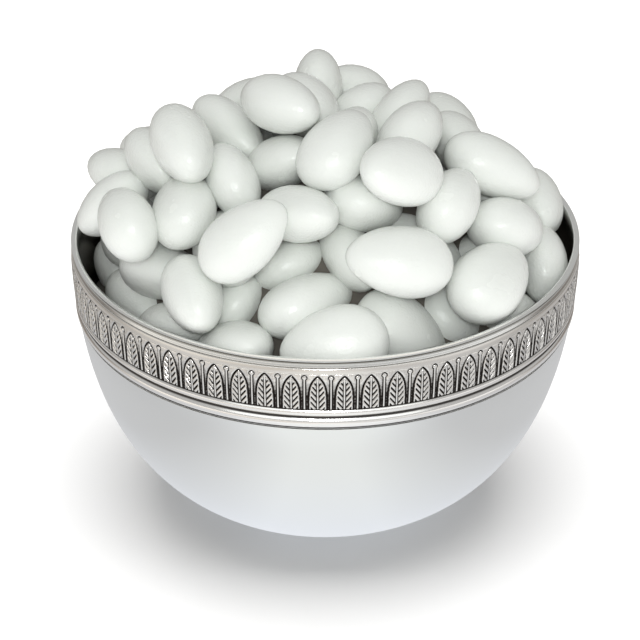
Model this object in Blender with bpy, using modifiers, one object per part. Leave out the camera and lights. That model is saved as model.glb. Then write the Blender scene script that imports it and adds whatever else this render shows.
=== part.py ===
"""A heap of sugared almonds in a round silver bowl with a leaf border under its rim.
Metres, +Z up. The origin is the middle of the bowl's foot, and the photograph looks along +Y."""
import math
import random

import bmesh
import bpy
import numpy as np

# Bowl
RIM_RADIUS = 0.075
RIM_HEIGHT = 0.088
WALL = 0.0019
FOOT_RADIUS = 0.020
# Its side is a superellipse: these are the powers of the height and of the radius.
SIDE_HEIGHT_POWER = 2.234
SIDE_RADIUS_POWER = 3.09
LIP_ROUND = 0.0006
BOWL_RINGS = 7
INSIDE_RINGS = 5
TURN_STEPS = 64
TURN_MERGE = 0.00001

# Border ring under the rim: depths below the lip, and heights over the wall's own outline.
# It lies in a shallow seat in the wall.
CLEARANCE = 0.0003
RING_TOP = 0.0027
LEAF_TOP = 0.0045
LEAF_BOTTOM = 0.0154
STRIP_TOP = 0.0162
STRIP_BOTTOM = 0.0205
RING_BOTTOM = 0.0228
SEAT_DEPTH = 0.0010
BAND_CHAMFER = 0.0004
BEAD_SLOPE = 0.0005
BAND_PROUD = 0.0001
FIELD_PROUD = -0.0002
STRIP_PROUD = 0.0005
BEAD_PROUD = 0.0004
LEAF_COUNT = 64
FIRST_LEAF = math.radians(-90.0 - 1.66)
LEAF_WIDTH = 0.0050
LEAF_PROUD = 0.0006
LEAF_SINK = 0.0003
LEAF_GAP = 0.0004
LEAF_SIDES = 6
LEAF_TIP_SHARE = 0.4

# Heap
HEAP_RISE = 0.052
HEAP_REACH = 0.98 * RIM_RADIUS
HEAP_POWER = 1.6
CORE_INSET = 0.0160
ALMOND_LENGTH = 0.030
ALMOND_WIDTH = 0.0205
ALMOND_THICKNESS = 0.016
TAPER = 0.16
LOOK_REACH = 0.13
LOOK_STEPS = 1301
LEAST_FACING = 0.45
SMALLEST_SIZE = 0.97
LARGEST_SIZE = 1.05
LEAST_FLATNESS = 0.82
LEAST_HALF_THICKNESS = 0.0072
MOST_TILT_SHARE = 0.9
CENTRE_INSET = 0.0070
LAYER_DROP = 0.0080
SEED = 11
SETTLE_STEPS = 160
SETTLE_POINTS = 90
STEP_SHARE = 0.7
FIRST_SIZE = 0.8
SIZE_GAIN = 0.3
NEIGHBOUR_REACH = 0.033
LEAST_DEPTH_SHARE = 0.2
ORDER_WEIGHT = 2.0
SKYLINE_EVERY = 5
SIDEWAYS_GIVE = 0.05
DEEP = 0.0012
PULL_HOME = 0.007
PULL_ASIDE = 0.07
LAST_SIZE = 0.90
LEAST_INSET = -0.006
MOST_INSET = 0.030
BAND_PULL = 0.05
MOST_LOWERING = 0.0003
ALMOND_SIDES = 7
ALMOND_RINGS = 5
FACET_GROWTH = 1.05
CORE_RINGS = 6
CORE_STEPS = 24
FILL_TRIES = 700
FILL_INSET = 0.0120
FILL_REACH = 0.97
FILL_LEAN = 0.4
FILL_GAP = 0.0163
SKYLINE_LEAVE = 4.0
SKYLINE_REACH = 4
SIZE_SPREAD = 0.05

# Camera of the photograph, which is 640 pixels wide and high
PHOTO_SIDE = 640
FOCAL_PX = 2661.0
CAMERA_DISTANCE = 10.5 * RIM_RADIUS
CAMERA_RISE = math.radians(28.5)
RIM_CENTRE_PX = (325.2, 229.0)

# Almonds that the photograph shows, back ones first. Each is read from it by eye: middle x and y,
# half length and half width in pixels, direction of the pointed end in degrees, and layer.
SHOWN = {
    "D1": (449, 124, 22, 17, -45, 2), "B11": (157, 150, 19, 16, 0, 2), "A1": (108, 173, 26, 18, 160, -1),
    "C1": (357, 92, 31, 27, -15, 3), "B7": (318, 84, 33, 20, 88, 2), "B8": (250, 106, 37, 26, 25, 2),
    "D6": (440, 158, 20, 14, -50, 2), "C2": (364, 109, 27, 23, 30, 1), "C3": (400, 114, 39, 24, 55, 1),
    "C10": (351, 142, 30, 27, 70, 2), "D2": (458, 146, 33, 26, -50, 1), "B10": (150, 168, 26, 17, -55, 2),
    "A2": (116, 200, 40, 26, 220, -1), "B2": (230, 131, 41, 24, -43, 1), "B9": (306, 106, 34, 29, -40, 2),
    "B5": (282.5, 105, 38.5, 28, -17, 1), "C4": (411, 135, 37, 28, 52, 1), "B1": (181, 145.5, 38, 29, -65, 0),
    "A7": (107, 273, 35, 24, -58, 1), "A8": (142, 302, 38, 27, -45, 2), "A9": (176, 324, 28, 20, 0, 2),
    "A3": (125, 223, 37, 29, 120, -1), "A4": (180.5, 208, 38, 32.5, 92, 0), "B3": (230, 177, 37, 26, 115, 0),
    "B4": (283, 162, 31, 27, 20, 1), "G5": (541, 205, 30, 18, -70, 2), "G3": (535, 290, 24, 18, -60, 2),
    "G4": (507, 312, 26, 20, -20, 2), "G2": (550, 262, 37, 20, 95, 1), "D5": (483, 256, 28, 23, 10, 2),
    "D3": (492, 168, 50, 29, -25, 0), "D4": (507, 228, 36, 29.5, -10, 0), "F6": (450, 203, 38, 29, 60, 0),
    "C5": (400, 172, 41, 34.5, 183, 0), "B6": (337, 148, 44.5, 32.5, 58, 0), "F4": (415, 250, 50, 33, -20, 1),
    "F5": (350, 257, 25, 23, -60, 1), "C6": (364, 206, 33, 28, -10, 0), "C8": (301, 214, 39, 29, -5, 0),
    "C9": (294, 262, 36, 24, 28, 3), "A5": (162, 273, 40, 29, -12, 1), "E1": (241, 302, 31, 25, 55, 1),
    "E4": (270, 352, 26, 20, 0, 1), "C7": (244.5, 239.5, 51.5, 33, 40, 0), "E2": (237, 350, 32, 29, 10, 1),
    "A6": (189, 300, 39, 30, -70, 0), "E3": (308, 304, 50, 31, 22, 0), "F7": (450, 322, 38, 30, -40, 2),
    "F2": (403, 333, 52, 34, -35, 1), "F3": (399, 261, 54.5, 36, 175, 0), "F1": (335, 346, 55, 40, 190, 0),
    "G1": (489.5, 280.5, 45.5, 37.5, 48, 0),
}


def side_radius(z, top, bottom, radius):
    """Radius of a wall of the bowl's form at height z, with its lip at top and its bottom at bottom."""
    fall = np.clip((top - np.asarray(z, dtype=float)) / (top - bottom), 0.0, 1.0)
    return radius * (1.0 - fall ** SIDE_HEIGHT_POWER) ** (1.0 / SIDE_RADIUS_POWER)


def outer_radius(z):
    return side_radius(z, RIM_HEIGHT, 0.0, RIM_RADIUS)


def inner_radius(z):
    return side_radius(z, RIM_HEIGHT, WALL, RIM_RADIUS - WALL)


class Photo:
    """The camera of the photograph: pixels to rays, and points to pixels."""

    def __init__(self):
        middle = PHOTO_SIDE / 2
        pitch = CAMERA_RISE + math.atan((middle - RIM_CENTRE_PX[1]) / FOCAL_PX)
        self.middle = middle
        self.right = np.array([1.0, 0.0, 0.0])
        self.axis = np.array([0.0, math.cos(pitch), -math.sin(pitch)])
        self.up = np.cross(self.right, self.axis)
        aside = (middle - RIM_CENTRE_PX[0]) / FOCAL_PX * CAMERA_DISTANCE
        self.eye = np.array([aside, -CAMERA_DISTANCE * math.cos(CAMERA_RISE),
                             RIM_HEIGHT + CAMERA_DISTANCE * math.sin(CAMERA_RISE)])

    def ray(self, x, y):
        way = self.axis + ((x - self.middle) * self.right + (self.middle - y) * self.up) / FOCAL_PX
        return way / np.linalg.norm(way)

    def pixels(self, points):
        away = np.asarray(points) - self.eye
        depth = away @ self.axis
        return np.stack([self.middle + FOCAL_PX * (away @ self.right) / depth,
                         self.middle - FOCAL_PX * (away @ self.up) / depth], axis=-1)


def heap_height(r):
    return RIM_HEIGHT + HEAP_RISE * (1.0 - (r / HEAP_REACH) ** HEAP_POWER)


def heap_normal(x, y):
    r = max(math.hypot(x, y), 1e-6)
    slope = HEAP_RISE * HEAP_POWER / HEAP_REACH * (r / HEAP_REACH) ** (HEAP_POWER - 1.0)
    normal = np.array([slope * x / r, slope * y / r, 1.0])
    return normal / np.linalg.norm(normal)


def meet_heap(photo, way):
    """Where a ray first meets the heap's mean surface, or passes it closest."""
    along = np.linspace(CAMERA_DISTANCE - LOOK_REACH, CAMERA_DISTANCE + LOOK_REACH, LOOK_STEPS)
    points = photo.eye + along[:, None] * way
    above = points[:, 2] - heap_height(np.hypot(points[:, 0], points[:, 1]))
    under = np.nonzero(above <= 0.0)[0]
    return along[under[0] if len(under) else np.argmin(above)]


def unit(vector):
    return vector / np.linalg.norm(vector)


def shown_almond(photo, draw, x, y, half_long, half_short, angle, layer):
    """Middle, axes and half sizes of an almond whose outline in the photograph is given."""
    way = photo.ray(x, y)
    along = meet_heap(photo, way)
    surface = photo.eye + along * way
    normal = heap_normal(surface[0], surface[1])
    facing = max(LEAST_FACING, -way @ normal)
    along += (CENTRE_INSET + LAYER_DROP * layer) / facing
    middle = photo.eye + along * way
    metres_per_px = (middle - photo.eye) @ photo.axis / FOCAL_PX
    long_seen = half_long * metres_per_px
    short_seen = half_short * metres_per_px

    size = draw.uniform(SMALLEST_SIZE, LARGEST_SIZE)
    half = np.array([ALMOND_LENGTH, ALMOND_WIDTH, ALMOND_THICKNESS]) / 2 * size
    half[0] = max(half[0], long_seen)
    half[1] = max(half[1], short_seen)
    half[2] = min(max(half[2], LEAST_FLATNESS * half[1]), max(short_seen, LEAST_HALF_THICKNESS))

    turn = math.radians(angle)
    flat = unit(math.cos(turn) * photo.right + math.sin(turn) * photo.up)
    flat = unit(flat - (flat @ way) * way)
    end_on = min(half[1], (half[1] + half[2]) / 2)
    share = (half[0] ** 2 - long_seen ** 2) / (half[0] ** 2 - end_on ** 2)
    tilt = math.asin(math.sqrt(min(max(share, 0.0), MOST_TILT_SHARE)))
    lies = -(flat @ normal) / min(way @ normal, -0.2)
    tilt = math.copysign(tilt, lies)
    long_axis = math.cos(tilt) * flat + math.sin(tilt) * way

    aside = unit(np.cross(way, flat))
    back = unit(np.cross(long_axis, aside))
    if back @ way > 0:
        back = -back
    share = (half[1] ** 2 - short_seen ** 2) / max(half[1] ** 2 - half[2] ** 2, 1e-9)
    roll = math.asin(math.sqrt(min(max(share, 0.0), 1.0)))
    roll = math.copysign(roll, normal @ aside)
    thin_axis = math.cos(roll) * back + math.sin(roll) * aside
    return middle, np.stack([long_axis, np.cross(thin_axis, long_axis), thin_axis]), half


def sphere_points(count):
    """Evenly spread points on a unit sphere, on a golden spiral about x."""
    step = np.arange(count) + 0.5
    polar = np.arccos(1.0 - 2.0 * step / count)
    round_x = math.pi * (1.0 + math.sqrt(5.0)) * step
    return np.stack([np.cos(polar), np.sin(polar) * np.cos(round_x), np.sin(polar) * np.sin(round_x)], axis=1)


def almond_form(ball, half):
    """A ball's points as an almond: pointed towards +x, with half sizes half."""
    narrow = 1.0 - TAPER * ball[..., :1]
    return ball * half * np.concatenate([np.ones_like(narrow), narrow, narrow], axis=-1)


def skyline(photo, world):
    """The highest pixel row that the points reach, for each pixel column."""
    sky = np.full(PHOTO_SIDE, float(PHOTO_SIDE))
    seen = photo.pixels(world.reshape(-1, 3))
    for x, y in seen:
        column = int(round(x))
        low, high = max(column - SKYLINE_REACH, 0), min(column + SKYLINE_REACH + 1, PHOTO_SIDE)
        sky[low:high] = np.minimum(sky[low:high], y)
    return sky


def pushed(give, direction, depth):
    """Moves of the given depth along each direction, made the way that each almond gives."""
    direction = direction / np.linalg.norm(direction, axis=1)[:, None]
    move = np.einsum("nij,nj->ni", give, direction)
    return move * (depth / (move * direction).sum(axis=1))[:, None]


def settle(photo, almonds, loose, steps):
    """Push overlapping almonds apart, the shown ones mostly along their line of sight.

    almonds is a list of (middle, axes, half); those from number loose on move freely.
    """
    ball = sphere_points(SETTLE_POINTS)
    middle = np.array([almond[0] for almond in almonds])
    axes = np.array([almond[1] for almond in almonds])
    half = np.array([almond[2] for almond in almonds])
    home = middle.copy()
    way = middle - photo.eye
    way /= np.linalg.norm(way, axis=1)[:, None]
    give = np.einsum("ni,nj->nij", way, way) * (1.0 - SIDEWAYS_GIVE) + np.eye(3) * SIDEWAYS_GIVE
    give[loose:] = np.eye(3)
    form = almond_form(ball[None], half[:, None])
    for step in range(steps):
        grown = min(LAST_SIZE, FIRST_SIZE + SIZE_GAIN * step / steps)
        world = middle[:, None] + grown * form @ axes
        gap = np.linalg.norm(middle[:, None] - middle[None], axis=2)
        one, two = np.nonzero((gap < NEIGHBOUR_REACH) & (gap > 0.0))
        probe = np.einsum("pmi,pji->pmj", world[one] - middle[two][:, None], axes[two]) / grown
        sizes = half[two][:, None]
        narrow = 1.0 - TAPER * np.clip(probe[..., :1] / sizes[..., :1], -1.0, 1.0)
        sizes = sizes * np.concatenate([np.ones_like(narrow), narrow, narrow], axis=-1)
        reach = np.sqrt(((probe / sizes) ** 2).sum(axis=2))
        deepest = reach.argmin(axis=1)
        pick = np.arange(len(one))
        hit = reach[pick, deepest] < 1.0
        pick, deepest, one, two = pick[hit], deepest[hit], one[hit], two[hit]
        probe, sizes, reach = probe[pick, deepest], sizes[pick, deepest], reach[pick, deepest]
        outward = probe / sizes ** 2
        outward /= np.linalg.norm(outward, axis=1)[:, None]
        depth = (probe * outward).sum(axis=1) * (1.0 / np.maximum(reach, LEAST_DEPTH_SHARE) - 1.0) * grown
        push = np.einsum("pi,pij->pj", outward, axes[two])
        # Deep overlaps of two shown almonds part in the order in which the photograph shows them.
        behind = np.where((depth > DEEP) & (one < loose) & (two < loose), np.sign(two - one), 0)
        push += ORDER_WEIGHT * behind[:, None] * way[one]
        push /= np.linalg.norm(push, axis=1)[:, None]
        one_way = np.einsum("pij,pj->pi", give[one], push)
        two_way = np.einsum("pij,pj->pi", give[two], push)
        share = 0.5 * depth / ((one_way + two_way) * push).sum(axis=1)
        move = np.zeros_like(middle)
        np.add.at(move, one, one_way * share[:, None])
        np.add.at(move, two, -two_way * share[:, None])
        middle += STEP_SHARE * move

        # Nothing floats over the heap's surface, and nothing sinks deep into it.
        x, y, z = middle.T
        spread = np.maximum(np.hypot(x, y), 0.001)
        slope = HEAP_RISE * HEAP_POWER * spread ** (HEAP_POWER - 1.0) / HEAP_REACH ** HEAP_POWER
        normal = np.stack([slope * x / spread, slope * y / spread, np.ones(len(x))], axis=1)
        normal /= np.linalg.norm(normal, axis=1)[:, None]
        under = (RIM_HEIGHT + HEAP_RISE * (1.0 - (spread / HEAP_REACH) ** HEAP_POWER) - z) * normal[:, 2]
        out = np.minimum(under - LEAST_INSET, 0.0) + np.maximum(under - MOST_INSET, 0.0)
        middle += BAND_PULL * out[:, None] * normal

        world = middle[:, None] + form @ axes
        radius = np.hypot(world[..., 0], world[..., 1])
        excess = (radius - inner_radius(world[..., 2]) + CLEARANCE).max(axis=1)
        outward = np.stack([middle[:, 0], middle[:, 1], np.zeros(len(middle))], axis=1)
        middle -= pushed(give, outward, np.maximum(excess, 0.0))

        off = home - middle
        along = (off * way).sum(axis=1)[:, None] * way
        middle += PULL_ASIDE * (off - along) + PULL_HOME * along
        if loose < len(almonds) and step % SKYLINE_EVERY == 0:
            sky = skyline(photo, world[:loose])
            seen = photo.pixels(world[loose:])
            column = np.clip(np.round(seen[..., 0]).astype(int), 0, PHOTO_SIDE - 1)
            over = (sky[column] + 1.0 - seen[..., 1]).max(axis=1) * CAMERA_DISTANCE / FOCAL_PX
            middle[loose:, 2] -= np.clip(over, 0.0, MOST_LOWERING)
    overlap = depth.max() if len(depth) else 0.0
    return [(middle[i], axes[i], half[i]) for i in range(len(almonds))], overlap


def fill_round(photo, draw, almonds):
    """Almonds lying at random on the heap, where the shown ones leave room and hide them."""
    ball = sphere_points(SETTLE_POINTS)
    world = np.array([middle + almond_form(ball, half) @ axes for middle, axes, half in almonds])
    sky = skyline(photo, world)
    more = []
    for number in range(FILL_TRIES):
        r = FILL_REACH * HEAP_REACH * math.sqrt((number + 0.5) / FILL_TRIES)
        turn = number * math.pi * (3.0 - math.sqrt(5.0))
        x, y = r * math.cos(turn), r * math.sin(turn)
        normal = heap_normal(x, y)
        middle = np.array([x, y, heap_height(r)]) - FILL_INSET * normal
        if any(np.linalg.norm(middle - other[0]) < FILL_GAP for other in almonds + more):
            continue
        lean = unit(normal + np.array([draw.uniform(-FILL_LEAN, FILL_LEAN) for _ in range(3)]))
        spin = draw.uniform(0.0, 2.0 * math.pi)
        long_axis = unit(np.cross(lean, [math.cos(spin), math.sin(spin), 0.1]))
        half = np.array([ALMOND_LENGTH, ALMOND_WIDTH, ALMOND_THICKNESS]) / 2
        half *= 1.0 + draw.uniform(-SIZE_SPREAD, SIZE_SPREAD)
        axes = np.stack([long_axis, np.cross(lean, long_axis), lean])
        seen = photo.pixels(middle + almond_form(ball, half) @ axes)
        column = np.clip(np.round(seen[:, 0]).astype(int), 0, PHOTO_SIDE - 1)
        if (sky[column] - seen[:, 1]).max() < SKYLINE_LEAVE:
            more.append((middle, axes, half))
    return more


def heap_places():
    """Every almond of the heap as (middle, axes, half sizes), the shown ones first."""
    photo = Photo()
    draw = random.Random(SEED)
    shown = [shown_almond(photo, draw, *row) for row in SHOWN.values()]
    shown, overlap = settle(photo, shown, len(shown), SETTLE_STEPS)
    more = fill_round(photo, draw, shown)
    places, overlap = settle(photo, shown + more, len(shown), SETTLE_STEPS)
    print(len(shown), "almonds shown,", len(more), "more, largest overlap", round(overlap * 1000, 2), "mm")
    return places


def clear_scene():
    for thing in list(bpy.data.objects):
        bpy.data.objects.remove(thing, do_unlink=True)


def new_collection(name, is_cutter=False):
    group = bpy.data.collections.new(name)
    bpy.context.scene.collection.children.link(group)
    group.hide_render = is_cutter
    return group


def new_material(name, colour, roughness, metallic):
    material = bpy.data.materials.new(name)
    material.use_nodes = True
    shader = material.node_tree.nodes["Principled BSDF"]
    shader.inputs["Base Color"].default_value = (*colour, 1.0)
    shader.inputs["Roughness"].default_value = roughness
    shader.inputs["Metallic"].default_value = metallic
    material.diffuse_color = (*colour, 1.0)
    return material


def turned(name, profile, group, closed=False, steps=TURN_STEPS):
    """A profile of (radius, height) points turned about Z, running down its outer side."""
    mesh = bpy.data.meshes.new(name)
    edges = [(i, i + 1) for i in range(len(profile) - 1)]
    if closed:
        edges.append((len(profile) - 1, 0))
    mesh.from_pydata([(r, 0.0, z) for r, z in profile], edges, [])
    thing = bpy.data.objects.new(name, mesh)
    group.objects.link(thing)
    screw = thing.modifiers.new("Turn", "SCREW")
    screw.axis = "Z"
    screw.angle = 2.0 * math.pi
    screw.steps = steps
    screw.render_steps = steps
    screw.use_merge_vertices = True
    screw.merge_threshold = TURN_MERGE
    return thing


def applied(thing):
    """The object's mesh with its modifiers applied, put in their place."""
    graph = bpy.context.evaluated_depsgraph_get()
    mesh = bpy.data.meshes.new_from_object(thing.evaluated_get(graph))
    thing.modifiers.clear()
    thing.data = mesh
    return thing


def wall_heights(top, bottom, rings):
    """Heights from top down to bottom, closer together where the side turns under."""
    falls = [math.sin(0.5 * math.pi * i / rings) ** (2.0 / SIDE_HEIGHT_POWER) for i in range(rings + 1)]
    return [top - (top - bottom) * fall for fall in falls]


def make_bowl(group, grow=0.0):
    """The bowl's wall: up the inside, over the lip, down the outside, round the border's seat."""
    heights = wall_heights(RIM_HEIGHT - LIP_ROUND, WALL, INSIDE_RINGS)
    inside = [(float(inner_radius(z)) - grow, z) for z in heights]
    inside[-1] = (0.0, WALL + grow)
    lip = RIM_HEIGHT + grow
    seat_top = RIM_HEIGHT - RING_TOP + CLEARANCE
    seat_bottom = RIM_HEIGHT - RING_BOTTOM - CLEARANCE
    profile = inside[::-1]
    profile += [(RIM_RADIUS - WALL + LIP_ROUND - grow, lip), (RIM_RADIUS - LIP_ROUND + grow, lip)]
    if grow:
        profile += [(RIM_RADIUS + grow, RIM_HEIGHT - LIP_ROUND), (RIM_RADIUS + grow, -grow), (0.0, -grow)]
        return turned("wall_room", profile, group)
    profile += [(RIM_RADIUS, RIM_HEIGHT - LIP_ROUND), (float(outer_radius(seat_top)), seat_top)]
    profile += [(float(outer_radius(seat_top)) - SEAT_DEPTH, seat_top)]
    profile += [(float(outer_radius(seat_bottom)) - SEAT_DEPTH, seat_bottom)]
    foot_height = next(z for z in np.linspace(0.0, WALL, 400) if outer_radius(z) > FOOT_RADIUS * 1.2)
    for z in wall_heights(seat_bottom, foot_height, BOWL_RINGS):
        profile.append((float(outer_radius(z)), z))
    profile += [(FOOT_RADIUS, 0.0), (0.0, 0.0)]
    return turned("bowl", profile, group)


def make_border(group, cutters):
    """The border ring: a plain band, the leaf field, a light strip and a bead, with its leaves fused on."""
    outline = [
        (RING_TOP, BAND_PROUD), (LEAF_TOP - BAND_CHAMFER, BAND_PROUD), (LEAF_TOP, FIELD_PROUD),
        (LEAF_BOTTOM, FIELD_PROUD), (STRIP_TOP, STRIP_PROUD), (STRIP_BOTTOM, STRIP_PROUD),
        (STRIP_BOTTOM + BAND_CHAMFER, FIELD_PROUD), (STRIP_BOTTOM + BAND_CHAMFER + BEAD_SLOPE, BEAD_PROUD),
        (RING_BOTTOM - BEAD_SLOPE, BEAD_PROUD), (RING_BOTTOM, FIELD_PROUD),
    ]
    profile = [(float(outer_radius(RIM_HEIGHT - deep)) + proud, RIM_HEIGHT - deep) for deep, proud in outline]
    for deep in (RING_BOTTOM, RING_TOP):
        z = RIM_HEIGHT - deep
        profile.append((float(outer_radius(z)) - SEAT_DEPTH + CLEARANCE, z))
    ring = applied(turned("rim_border", profile, group, closed=True))
    middle = (LEAF_TOP + LEAF_BOTTOM) / 2
    z = RIM_HEIGHT - middle
    radius = float(outer_radius(z)) + FIELD_PROUD + (LEAF_PROUD - LEAF_SINK) / 2
    for number in range(LEAF_COUNT):
        turn = FIRST_LEAF + 2.0 * math.pi * number / LEAF_COUNT
        bpy.ops.mesh.primitive_cone_add(vertices=LEAF_SIDES, radius1=0.5, radius2=0.5 * LEAF_TIP_SHARE)
        leaf = bpy.context.object
        leaf.name = "leaf"
        leaf.scale = (LEAF_BOTTOM - LEAF_TOP - LEAF_GAP, LEAF_WIDTH - LEAF_GAP, (LEAF_PROUD + LEAF_SINK) / 2)
        leaf.rotation_euler = (0.0, math.radians(90.0), turn)
        leaf.location = (radius * math.cos(turn), radius * math.sin(turn), z)
        move_to(leaf, cutters)
    return fused(ring, cutters)


def move_to(thing, group):
    for home in list(thing.users_collection):
        home.objects.unlink(thing)
    group.objects.link(thing)


def fused(thing, group, solver="EXACT"):
    """The object with every object of the collection joined on. Those objects are removed."""
    join = thing.modifiers.new("Join", "BOOLEAN")
    join.operation = "UNION"
    join.operand_type = "COLLECTION"
    join.collection = group
    join.solver = solver
    applied(thing)
    for part in list(group.objects):
        bpy.data.objects.remove(part, do_unlink=True)
    return thing


def cut(thing, cutter):
    take = thing.modifiers.new("Cut", "BOOLEAN")
    take.operation = "DIFFERENCE"
    take.object = cutter
    take.solver = "MANIFOLD"
    return applied(thing)


def keep_largest_shell(thing):
    """Drop loose scraps and sealed hollows: everything but the shell with the largest box."""
    mesh = bmesh.new()
    mesh.from_mesh(thing.data)
    left = set(mesh.verts)
    shells = []
    while left:
        shell, edge = set(), [left.pop()]
        while edge:
            vert = edge.pop()
            shell.add(vert)
            near = {link.other_vert(vert) for link in vert.link_edges} & left
            left -= near
            edge.extend(near)
        shells.append(shell)

    def spread(shell):
        return sum(max(v.co[i] for v in shell) - min(v.co[i] for v in shell) for i in range(3))

    largest = max(shells, key=spread)
    scraps = [vert for shell in shells if shell is not largest for vert in shell]
    bmesh.ops.delete(mesh, geom=scraps, context="VERTS")
    bmesh.ops.triangulate(mesh, faces=mesh.faces[:])
    mesh.to_mesh(thing.data)
    mesh.free()
    print(thing.name, "dropped", len(shells) - 1, "shells,", len(thing.data.polygons), "triangles left")
    return thing


def core_profile():
    """The filled inside of the heap: its crown lies below the almonds, its side along the bowl."""
    crown = []
    for i in range(CORE_RINGS + 1):
        r = RIM_RADIUS * i / CORE_RINGS
        normal = heap_normal(r, 0.0)
        crown.append((max(r - CORE_INSET * normal[0], 0.0), heap_height(r) - CORE_INSET * normal[2]))
    crown[0] = (0.0, crown[0][1])
    crown = [point for point in crown if point[0] < inner_radius(point[1]) - 2.0 * CLEARANCE]
    side = [(float(inner_radius(z)) - CLEARANCE, z) for z in wall_heights(crown[-1][1], WALL, INSIDE_RINGS)]
    side[-1] = (0.0, WALL + CLEARANCE)
    return crown + side[1:]


def make_heap(group, cutters):
    """The almonds at their true size, fused on a core that fills the bowl."""
    heap = applied(turned("almond_heap", core_profile(), group, steps=CORE_STEPS))
    for middle, axes, half in heap_places():
        mesh = bpy.data.meshes.new("almond")
        shape = bmesh.new()
        bmesh.ops.create_uvsphere(shape, u_segments=ALMOND_SIDES, v_segments=ALMOND_RINGS, radius=1.0)
        ball = np.array([(vert.co.z, vert.co.x, vert.co.y) for vert in shape.verts])
        for vert, place in zip(shape.verts, middle + almond_form(ball, half * FACET_GROWTH) @ axes):
            vert.co = place
        shape.to_mesh(mesh)
        shape.free()
        cutters.objects.link(bpy.data.objects.new("almond", mesh))
    fused(heap, cutters, "MANIFOLD")
    cut(heap, make_bowl(cutters, grow=CLEARANCE))
    return keep_largest_shell(heap)


def main():
    clear_scene()
    group = new_collection("sugared_almonds")
    cutters = new_collection("cutters", is_cutter=True)
    silver = new_material("silver", (0.80, 0.80, 0.79), 0.28, 1.0)
    old_silver = new_material("oxidised_silver", (0.52, 0.50, 0.47), 0.35, 1.0)
    sugar = new_material("white_sugar_shell", (0.85, 0.87, 0.84), 0.45, 0.0)
    for thing, material in ((make_bowl(group), silver), (make_border(group, cutters), old_silver),
                            (make_heap(group, cutters), sugar)):
        thing.data.materials.clear()
        thing.data.materials.append(material)
    for cutter in cutters.objects:
        cutter.hide_render = True
        cutter.display_type = "WIRE"


main()
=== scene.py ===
"""Sugared almonds heaped in a round silver bowl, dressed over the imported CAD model."""

import math
import random

import bmesh
import bpy
import numpy as np
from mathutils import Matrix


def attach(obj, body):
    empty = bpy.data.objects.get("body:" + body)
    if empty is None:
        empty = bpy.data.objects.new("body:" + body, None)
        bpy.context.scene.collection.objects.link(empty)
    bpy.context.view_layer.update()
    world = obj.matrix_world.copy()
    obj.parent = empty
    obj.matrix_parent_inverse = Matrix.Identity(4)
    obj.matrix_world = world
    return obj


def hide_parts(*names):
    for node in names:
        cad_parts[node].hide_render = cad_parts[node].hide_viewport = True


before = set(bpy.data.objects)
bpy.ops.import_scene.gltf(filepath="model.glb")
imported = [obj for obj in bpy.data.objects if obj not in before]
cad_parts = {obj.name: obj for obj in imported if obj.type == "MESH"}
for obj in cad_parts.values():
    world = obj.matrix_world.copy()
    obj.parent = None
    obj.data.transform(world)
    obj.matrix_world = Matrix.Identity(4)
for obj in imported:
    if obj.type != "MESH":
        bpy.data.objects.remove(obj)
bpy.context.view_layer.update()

# The bowl is raised from sheet silver and polished to a soft shine, with a flat turned-over lip.
# It is one turned shell: up the inside, over the lip, down the outside and under to the foot.
RIM_RADIUS = 0.075
RIM_HEIGHT = 0.088
WALL = 0.0019
FOOT_RADIUS = 0.020
SIDE_HEIGHT_POWER = 2.234
SIDE_RADIUS_POWER = 3.09
SIDE_RINGS = 40
CLEARANCE = 0.0003
SEAT_DEPTH = 0.0010
RING_TOP = 0.0027
RING_BOTTOM = 0.0228
WALL_COLUMNS = 256
SHARP_ANGLE = math.radians(35.0)
SILVER = (0.89, 0.90, 0.89)
CLOUDY_SILVER = (0.865, 0.875, 0.865)
# Colour of the painted shade on the inner face and in the groove under the lip
INSIDE_SHADE = (0.22, 0.21, 0.19)


def side_radius(z, top, bottom, radius):
    """Radius of a wall of the bowl's form at height z, with its lip at top and its bottom at bottom."""
    fall = np.clip((top - np.asarray(z, dtype=float)) / (top - bottom), 0.0, 1.0)
    return radius * (1.0 - fall ** SIDE_HEIGHT_POWER) ** (1.0 / SIDE_RADIUS_POWER)


def outer_radius(z):
    return side_radius(z, RIM_HEIGHT, 0.0, RIM_RADIUS)


def inner_radius(z):
    return side_radius(z, RIM_HEIGHT, WALL, RIM_RADIUS - WALL)


def wall_heights(top, bottom, rings):
    """Heights from top down to bottom, closer together where the side turns under."""
    falls = [math.sin(0.5 * math.pi * i / rings) ** (2.0 / SIDE_HEIGHT_POWER) for i in range(rings + 1)]
    return [top - (top - bottom) * fall for fall in falls]


def turned(name, profile, columns):
    """A profile of (radius, height) points turned about Z, running down its outer side."""
    mesh = bpy.data.meshes.new(name)
    mesh.from_pydata([(r, 0.0, z) for r, z in profile], [(i, i + 1) for i in range(len(profile) - 1)], [])
    thing = bpy.data.objects.new(name, mesh)
    bpy.context.scene.collection.objects.link(thing)
    screw = thing.modifiers.new("Turn", "SCREW")
    screw.angle = 2.0 * math.pi
    screw.steps = screw.render_steps = columns
    screw.use_merge_vertices = True
    screw.merge_threshold = 0.00001
    thing.data = bpy.data.meshes.new_from_object(thing.evaluated_get(bpy.context.evaluated_depsgraph_get()))
    thing.modifiers.clear()
    thing.data.shade_smooth()
    thing.data.set_sharp_from_angle(angle=SHARP_ANGLE)
    return thing


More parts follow.
